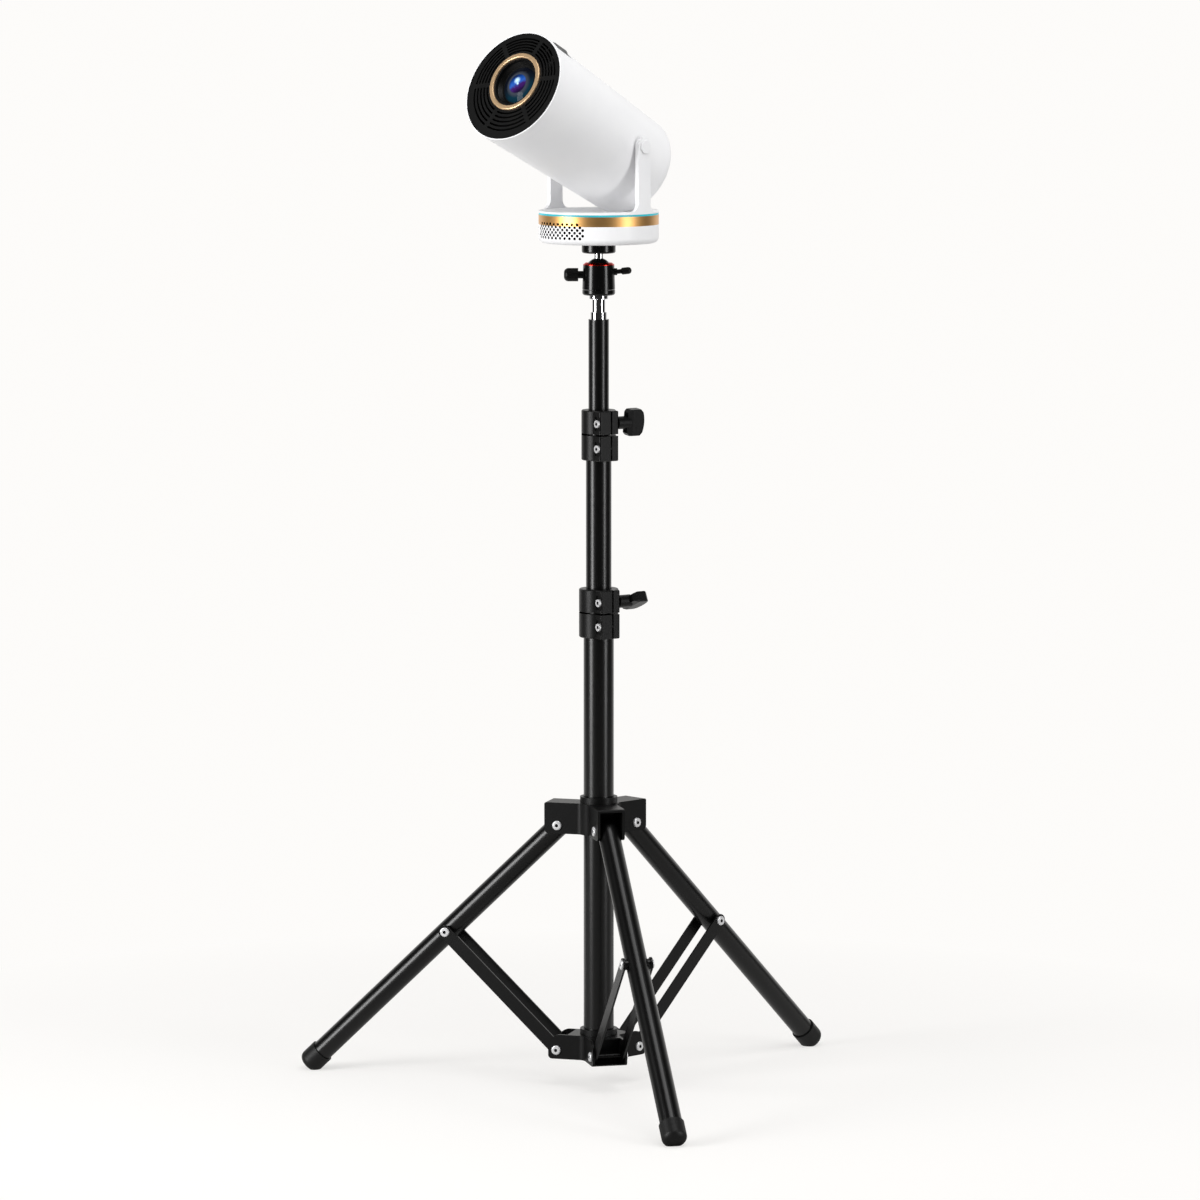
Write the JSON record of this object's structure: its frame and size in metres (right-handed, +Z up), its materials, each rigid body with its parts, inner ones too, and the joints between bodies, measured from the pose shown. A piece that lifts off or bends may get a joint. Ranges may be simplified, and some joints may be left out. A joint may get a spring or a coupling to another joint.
{
  "type": "portable projector on a folding tripod stand",
  "caption": "Drum-shaped portable projector in a tilting yoke, on a mini ball head, telescopic column and folding tripod legs with clamp knobs.",
  "frame": {"origin": "on the floor under the middle of the bounding box", "axes": "+Z up along the column; the picture's camera looks along +Y, with +X to its right"},
  "size_m": [0.54, 0.534, 1.0675],
  "materials": {
    "tube_black": "satin black",
    "plastic_black": "satin black",
    "rubber": "matte black",
    "chrome": "polished",
    "strut_black": "satin black",
    "head_black": "satin black",
    "ring_red": "anodised red",
    "white": "satin white",
    "gold": "brushed gold",
    "light": "lit ring",
    "bezel_black": "matte black",
    "glass": "coated lens",
    "wheel_grey": "ribbed grey"
  },
  "bodies": {
    "column": {"base_tube": "tube_black", "column_plug": "plastic_black", "lower_hub": "plastic_black", "strut_pins": "chrome", "lower_clamp": "plastic_black", "lower_clamp_bolts": "chrome"},
    "lower_knob": {"lower_clamp_knob": "plastic_black"},
    "middle_column": {"middle_tube": "tube_black", "upper_clamp": "plastic_black", "upper_clamp_bolts": "chrome"},
    "upper_knob": {"upper_clamp_knob": "plastic_black"},
    "top_column": {"top_tube": "tube_black", "spigot": "chrome", "spigot_nut": "chrome", "pan_base": "head_black"},
    "head": {"head_housing": "head_black", "head_ring": "ring_red"},
    "ball_lock": {"ball_knob": "plastic_black"},
    "pan_lock": {"pan_lever": "plastic_black"},
    "stage": {"ball_stem": "head_black", "head_plate": "head_black", "plate_pad": "rubber", "projector_base": "white", "base_band": "gold", "base_light": "light", "base_feet": "rubber", "yoke": "white", "pivot_caps": "white"},
    "barrel": {"barrel_shell": "white", "front_bezel": "bezel_black", "lens_ring": "gold", "lens_tube": "bezel_black", "lens": "glass", "light_engine": "bezel_black", "rear_panel": "bezel_black", "focus_pocket": "bezel_black"},
    "focus": {"focus_wheel": "wheel_grey"},
    "hub": {"leg_hub": "plastic_black", "leg_pins": "chrome"},
    "hub_lock": {"hub_lock_knob": "plastic_black"},
    "front_leg": {"leg_front": "tube_black", "foot_front": "rubber"},
    "front_strut": {"strut_front": "strut_black", "knee_pin_front": "chrome"},
    "right_leg": {"leg_right": "tube_black", "foot_right": "rubber"},
    "right_strut": {"strut_right": "strut_black", "knee_pin_right": "chrome"},
    "left_leg": {"leg_left": "tube_black", "foot_left": "rubber"},
    "left_strut": {"strut_left": "strut_black", "knee_pin_left": "chrome"}
  },
  "joints": [
    {"name": "leg_fold", "type": "hinge", "parent": "column", "child": "front_strut", "pos_m": [0.04563, 0.00393, 0.03715], "axis": [-0.9713, -0.2377, 0], "range_deg": [0, 40]},
    {"name": "front_knee", "type": "hinge", "parent": "front_strut", "child": "front_leg", "pos_m": [0.07394, -0.11178, 0.15219], "axis": [0.9713, 0.2377, 0], "range_deg": [0, 80]},
    {"name": "hub_level", "type": "hinge", "parent": "front_leg", "child": "hub", "pos_m": [0.04563, 0.00393, 0.26722], "axis": [-0.9713, -0.2377, 0], "range_deg": [0, 40]},
    {"name": "right_leg_fold", "type": "hinge", "parent": "hub", "child": "right_leg", "pos_m": [0.06492, 0.07011, 0.26722], "axis": [-0.6915, 0.7224, 0], "range_deg": [0, 40]},
    {"name": "right_strut_fold", "type": "hinge", "parent": "column", "child": "right_strut", "pos_m": [0.06492, 0.07011, 0.03715], "axis": [0.6915, -0.7224, 0], "range_deg": [0, 40]},
    {"name": "left_leg_fold", "type": "hinge", "parent": "hub", "child": "left_leg", "pos_m": [-0.00204, 0.05372, 0.26722], "axis": [-0.2798, -0.96, 0], "range_deg": [0, 40]},
    {"name": "left_strut_fold", "type": "hinge", "parent": "column", "child": "left_strut", "pos_m": [-0.00204, 0.05372, 0.03715], "axis": [0.2798, 0.96, 0], "range_deg": [0, 40]},
    {"name": "hub_lock_turn", "type": "hinge", "parent": "hub", "child": "hub_lock", "pos_m": [0.02904, 0.07173, 0.27472], "axis": [-0.2377, 0.9713, 0], "range_deg": [-180, 180]},
    {"name": "lower_knob_turn", "type": "hinge", "parent": "column", "child": "lower_knob", "pos_m": [0.07224, 0.04337, 0.4961], "axis": [0.8192, 0.5736, 0], "range_deg": [-180, 180]},
    {"name": "middle_slide", "type": "slide", "parent": "column", "child": "middle_column", "axis": [0, 0, 1], "range_m": [-0.125, 0.25]},
    {"name": "upper_knob_turn", "type": "hinge", "parent": "middle_column", "child": "upper_knob", "pos_m": [0.07084, 0.04538, 0.67615], "axis": [0.8192, 0.5736, 0], "range_deg": [-180, 180]},
    {"name": "top_slide", "type": "slide", "parent": "middle_column", "child": "top_column", "axis": [0, 0, 1], "range_m": [-0.1041, 0.17]},
    {"name": "head_pan", "type": "hinge", "parent": "top_column", "child": "head", "pos_m": [0.03617, 0.04259, 0.80995], "axis": [0, 0, 1], "range_deg": [-180, 180]},
    {"name": "ball_lock_turn", "type": "hinge", "parent": "head", "child": "ball_lock", "pos_m": [0.01117, 0.04259, 0.82425], "axis": [-1, 0, 0], "range_deg": [-180, 180]},
    {"name": "pan_lever_turn", "type": "hinge", "parent": "head", "child": "pan_lock", "pos_m": [0.06117, 0.04259, 0.82725], "axis": [1, 0, 0], "range_deg": [-60, 60]},
    {"name": "ball_tilt", "type": "hinge", "parent": "head", "child": "stage", "pos_m": [0.03617, 0.04259, 0.82725], "axis": [-1, 0, 0], "range_deg": [-20, 90]},
    {"name": "barrel_tilt", "type": "hinge", "parent": "stage", "child": "barrel", "pos_m": [0.03617, 0.04259, 0.95355], "axis": [-0.766, 0.6428, 0], "range_deg": [-25, 150]},
    {"name": "focus_turn", "type": "hinge", "parent": "barrel", "child": "focus", "pos_m": [-0.00707, -0.04661, 1.04587], "axis": [-0.5802, -0.6914, 0.4305], "range_deg": [-60, 60]}
  ],
  "couplings": [
    {"joint": "front_knee", "follows": "leg_fold", "ratio": 2},
    {"joint": "hub_level", "follows": "leg_fold", "ratio": 1},
    {"joint": "right_leg_fold", "follows": "leg_fold", "ratio": 1},
    {"joint": "right_strut_fold", "follows": "leg_fold", "ratio": 1},
    {"joint": "left_leg_fold", "follows": "leg_fold", "ratio": 1},
    {"joint": "left_strut_fold", "follows": "leg_fold", "ratio": 1}
  ]
}
